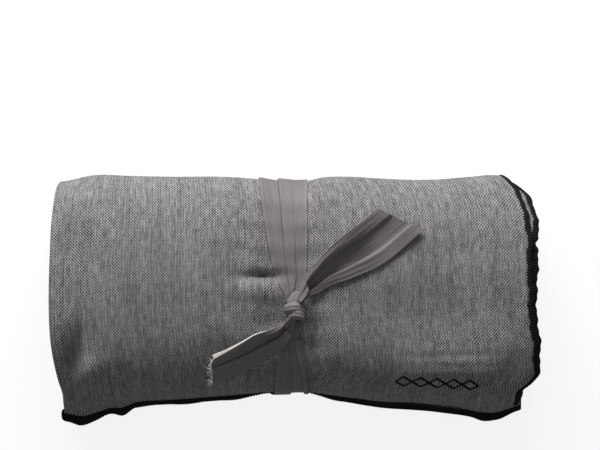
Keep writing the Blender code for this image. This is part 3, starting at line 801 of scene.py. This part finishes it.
# Three turns of tape over the core: x, y and height above the towel at five places of each.
KNOT_TURNS = (
    ((-0.0036, -0.0040, 0.0010), (-0.0026, -0.0030, 0.0050), (0.0020, -0.0016, 0.0072),
     (0.0060, -0.0030, 0.0056), (0.0078, -0.0058, 0.0012)),
    ((-0.0060, -0.0078, 0.0010), (-0.0048, -0.0074, 0.0060), (0.0010, -0.0064, 0.0090),
     (0.0068, -0.0076, 0.0070), (0.0086, -0.0104, 0.0012)),
    ((-0.0034, -0.0112, 0.0010), (-0.0020, -0.0114, 0.0060), (0.0030, -0.0112, 0.0088),
     (0.0068, -0.0128, 0.0070), (0.0074, -0.0158, 0.0012)))
wraps = []
for k, places in enumerate(KNOT_TURNS):
    wraps.append(bundle([(x, y, knot_floor + up) for x, y, up in places],
                        ((0, 0.0012), (0.5, 0.0016), (1, 0.0012)),
                        ((0, 0.0022), (0.3, 0.0033), (0.6, 0.0036), (1, 0.0022)),
                        ALONG_ROLL, 0.8 - 0.6 * k))
knot = tube_mesh("tie_crossing", [core] + wraps)
knot.data.uv_layers.new(name="UVMap")
places = np.zeros(len(knot.data.vertices) * 3)
knot.data.vertices.foreach_get("co", places)
corners = np.zeros(len(knot.data.loops), np.int32)
knot.data.loops.foreach_get("vertex_index", corners)
from_above = places.reshape(-1, 3)[corners][:, [0, 1]]
knot.data.uv_layers.active.data.foreach_set("uv", from_above.reshape(-1))
finished(knot, tape, "roll")
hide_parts("tie_knot")


# The two loose ends of the tape.  Each comes out of the knot in tight pleats, opens out, and
# lies with one border on the towel and the other one standing up.  The ends are cut.  On the
# left one the cut has lost its dyed yarns, and cream ones show, and near-white yarns laid
# along its raised border are a painted highlight where that border faces the light.

# The widest that an end spreads, and how far it stays off the towel.
WIDEST_END, END_CLEARANCE = 0.0362, 0.0011
# The roll that stands along the raised border near the knot, and the fine wrinkles.
RIM_HEIGHT, RIM_PLACE, RIM_WIDTH = 0.0026, 0.15, 0.08
WRINKLE = 0.00018


def tape_end(name, raised_border, lying_border, creases, sag, steps):
    """One tape end between its two borders, each a row of (x, y, height above the towel).
    It sags between them, by so much at each share of its length."""
    share = np.linspace(0, 1, steps)
    upper, lower = line_through(raised_border, share), line_through(lying_border, share)
    for border in (upper, lower):
        border[:, 2] += skin_heights(border[:, 0], border[:, 1])
    middle = (upper + lower) / 2
    heading = np.gradient(middle, axis=0)
    length = np.concatenate([[0], np.cumsum(np.linalg.norm(np.diff(middle, axis=0), axis=1))])
    across = np.linspace(0, TAPE_WIDTH, ACROSS)
    rows = []
    for k, t in enumerate(share):
        spread = lower[k] - upper[k]
        chord = float(np.linalg.norm(spread))
        normal = np.cross(spread, heading[k])
        normal *= (1 if normal[2] > 0 else -1) / np.linalg.norm(normal)
        side, height = pleats(min(chord, WIDEST_END), creases)
        level = side / side[-1]
        hang = -float(through(sag, t)) * np.sin(math.pi * np.clip(level, 0, 1) ** 0.8)
        wrinkle = WRINKLE * np.sin(across / 0.00063 + 2 * t) * np.sin(across / 0.0041 + 5 * t)
        rim = RIM_HEIGHT * (1 - t) ** 1.3 * min(1.0, 5 * t)
        rim = rim * np.exp(-((level - RIM_PLACE) / RIM_WIDTH) ** 2)
        place = upper[k] + spread * level[:, None]
        place = place + normal * (height + hang + rim + wrinkle * (1 - 0.5 * t))[:, None]
        lowest = skin_heights(place[:, 0], place[:, 1]) + END_CLEARANCE
        place[:, 2] = np.maximum(place[:, 2], lowest)
        rows.append(place)
    made = woven_sheet(name, np.array(rows), across[None, :], length[:, None],
                       TAPE_THICKNESS * 0.75)
    return made, np.array(rows), float(length[-1])


left_end, left_rows, left_length = tape_end(
    "tie_left_end",
    ((0.0022, -0.0104, 0.0086), (-0.0066, -0.0162, 0.0118), (-0.0123, -0.0207, 0.0136),
     (-0.0203, -0.0240, 0.0155), (-0.0276, -0.0268, 0.0172), (-0.0372, -0.0328, 0.0184),
     (-0.0457, -0.0378, 0.0190), (-0.0565, -0.0436, 0.0192)),
    ((0.0022, -0.0150, 0.0050), (-0.0010, -0.0240, 0.0030), (-0.0044, -0.0323, 0.0020),
     (-0.0100, -0.0375, 0.0016), (-0.0183, -0.0430, 0.0016), (-0.0294, -0.0494, 0.0016),
     (-0.0433, -0.0545, 0.0018), (-0.0585, -0.0600, 0.0020)),
    ((0.22, -1, 0.25), (0.50, 1, 0.30), (0.95, -1, 0.45)),
    ((0, 0.0), (0.5, 0.0016), (1, 0.0030)), 60)
right_end, right_rows, right_length = tape_end(
    "tie_right_end",
    ((0.0029, 0.0010, 0.0066), (0.0080, 0.0121, 0.0080), (0.0130, 0.0206, 0.0096),
     (0.0210, 0.0305, 0.0112), (0.0290, 0.0384, 0.0126), (0.0377, 0.0456, 0.0136),
     (0.0457, 0.0519, 0.0140), (0.0529, 0.0578, 0.0138), (0.0615, 0.0645, 0.0130)),
    ((0.0052, -0.0030, 0.0050), (0.0103, 0.0007, 0.0034), (0.0195, 0.0052, 0.0024),
     (0.0278, 0.0100, 0.0020), (0.0390, 0.0136, 0.0018), (0.0486, 0.0174, 0.0016),
     (0.0595, 0.0222, 0.0016), (0.0730, 0.0310, 0.0018), (0.0943, 0.0500, 0.0030)),
    ((0.30, -1, 0.5), (0.72, 1, 0.5)), ((0, 0.0), (0.4, 0.0006), (1, 0.0016)), 70)

for piece, side, length, hinge, ahead in (
        (left_end, "left", left_length, (-0.02426, -0.02354, 0.0779), (-0.80111, -0.59851, 0)),
        (right_end, "right", right_length, (0.02849, 0.02145, 0.08087), (0.789, 0.6144, 0))):
    finished(piece, tape, None)
    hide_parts(f"tie_{side}_neck", f"tie_{side}_tail")
    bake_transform(piece)

# Undyed cream yarn, bare and frayed on the left end: matt and a little hairy.  The same
# near-white yarn is laid along that end's raised border as a painted highlight.
cream, tree, shader = new_material("frayed_yarn_and_painted_highlight")
shader.inputs["Roughness"].default_value = 0.9
shader.inputs["Specular IOR Level"].default_value = 0.2
place = add_node(tree, "ShaderNodeTexCoord").outputs["Object"]
hair = add_node(tree, "ShaderNodeTexNoise",
                {"Vector": place, "Scale": 1500.0, "Detail": 2.0}).outputs["Fac"]
mixed = add_node(tree, "ShaderNodeValToRGB", {"Fac": hair})
mixed.color_ramp.elements[0].color = linear("#d6d0c6")
mixed.color_ramp.elements[1].color = linear("#fbf8f2")
tree.links.new(mixed.outputs["Color"], shader.inputs["Base Color"])


def yarn(line, radius):
    """Rings of one yarn along a line of points, thinner towards its loose end."""
    line = np.array(line)
    heading = np.gradient(line, axis=0)
    heading /= np.linalg.norm(heading, axis=1)[:, None]
    sideways = np.cross(heading, (0.3, 0.2, 1.0))
    sideways /= np.linalg.norm(sideways, axis=1)[:, None]
    upwards = np.cross(sideways, heading)
    ring = np.linspace(0, math.tau, 5, endpoint=False)
    thin = radius * np.linspace(1, 0.65, len(line))[:, None, None]
    return line[:, None] + thin * (sideways[:, None] * np.cos(ring)[:, None]
                                   + upwards[:, None] * np.sin(ring)[:, None])


LOOSE_YARN, PAINTED_HIGHLIGHT_YARN, CUT_YARN = 0.00018, 0.00030, 0.00024
PAINTED_HIGHLIGHT_YARNS, CUT_YARNS = 9, 3
# Where the near-white yarns of the painted highlight lie beside each other along the raised
# border.
BESIDE = np.array([-0.30, 0.62, -0.10]) * 0.00052
chance = np.random.default_rng(4)
for name, rows, body, material, count, reach in (
        ("left_fray_and_highlight", left_rows, "left_tail", cream, 26, 0.0036),
        ("right_fray", right_rows, "right_tail", tape, 30, 0.0014)):
    yarns = []
    outward = rows[-1] - rows[-4]
    outward /= np.linalg.norm(outward, axis=1)[:, None]
    for _ in range(count):
        k = int(chance.integers(0, ACROSS))
        drift = chance.normal(0, 0.45, 3)
        length = reach * chance.uniform(0.35, 1.3)
        yarns.append(yarn([rows[-1][k] + (outward[k] * (t - 0.25) + drift * t * t) * length
                           for t in np.linspace(0, 1, 6)], LOOSE_YARN))
    if material == cream:
        # Near-white yarns along the raised border: a painted highlight where that border faces the
        # light.
        for layer in range(PAINTED_HIGHLIGHT_YARNS):
            border = rows[int((0.40 + 0.055 * layer) * len(rows)):, 0]
            widening = np.linspace(0.3, 1, len(border))[:, None]
            yarns.append(yarn(border + BESIDE * layer * widening + [0, 0, PAINTED_HIGHLIGHT_YARN],
                              PAINTED_HIGHLIGHT_YARN))
        for layer in range(CUT_YARNS):
            cut = rows[-1][::3] + outward[::3] * (0.0002 + 0.00035 * layer)
            yarns.append(yarn(cut + chance.normal(0, 0.00012, cut.shape), CUT_YARN))
    fray = tube_mesh(name, yarns)
    if material == tape:
        fray.data.uv_layers.new(name="UVMap")
    finished(fray, material, body)
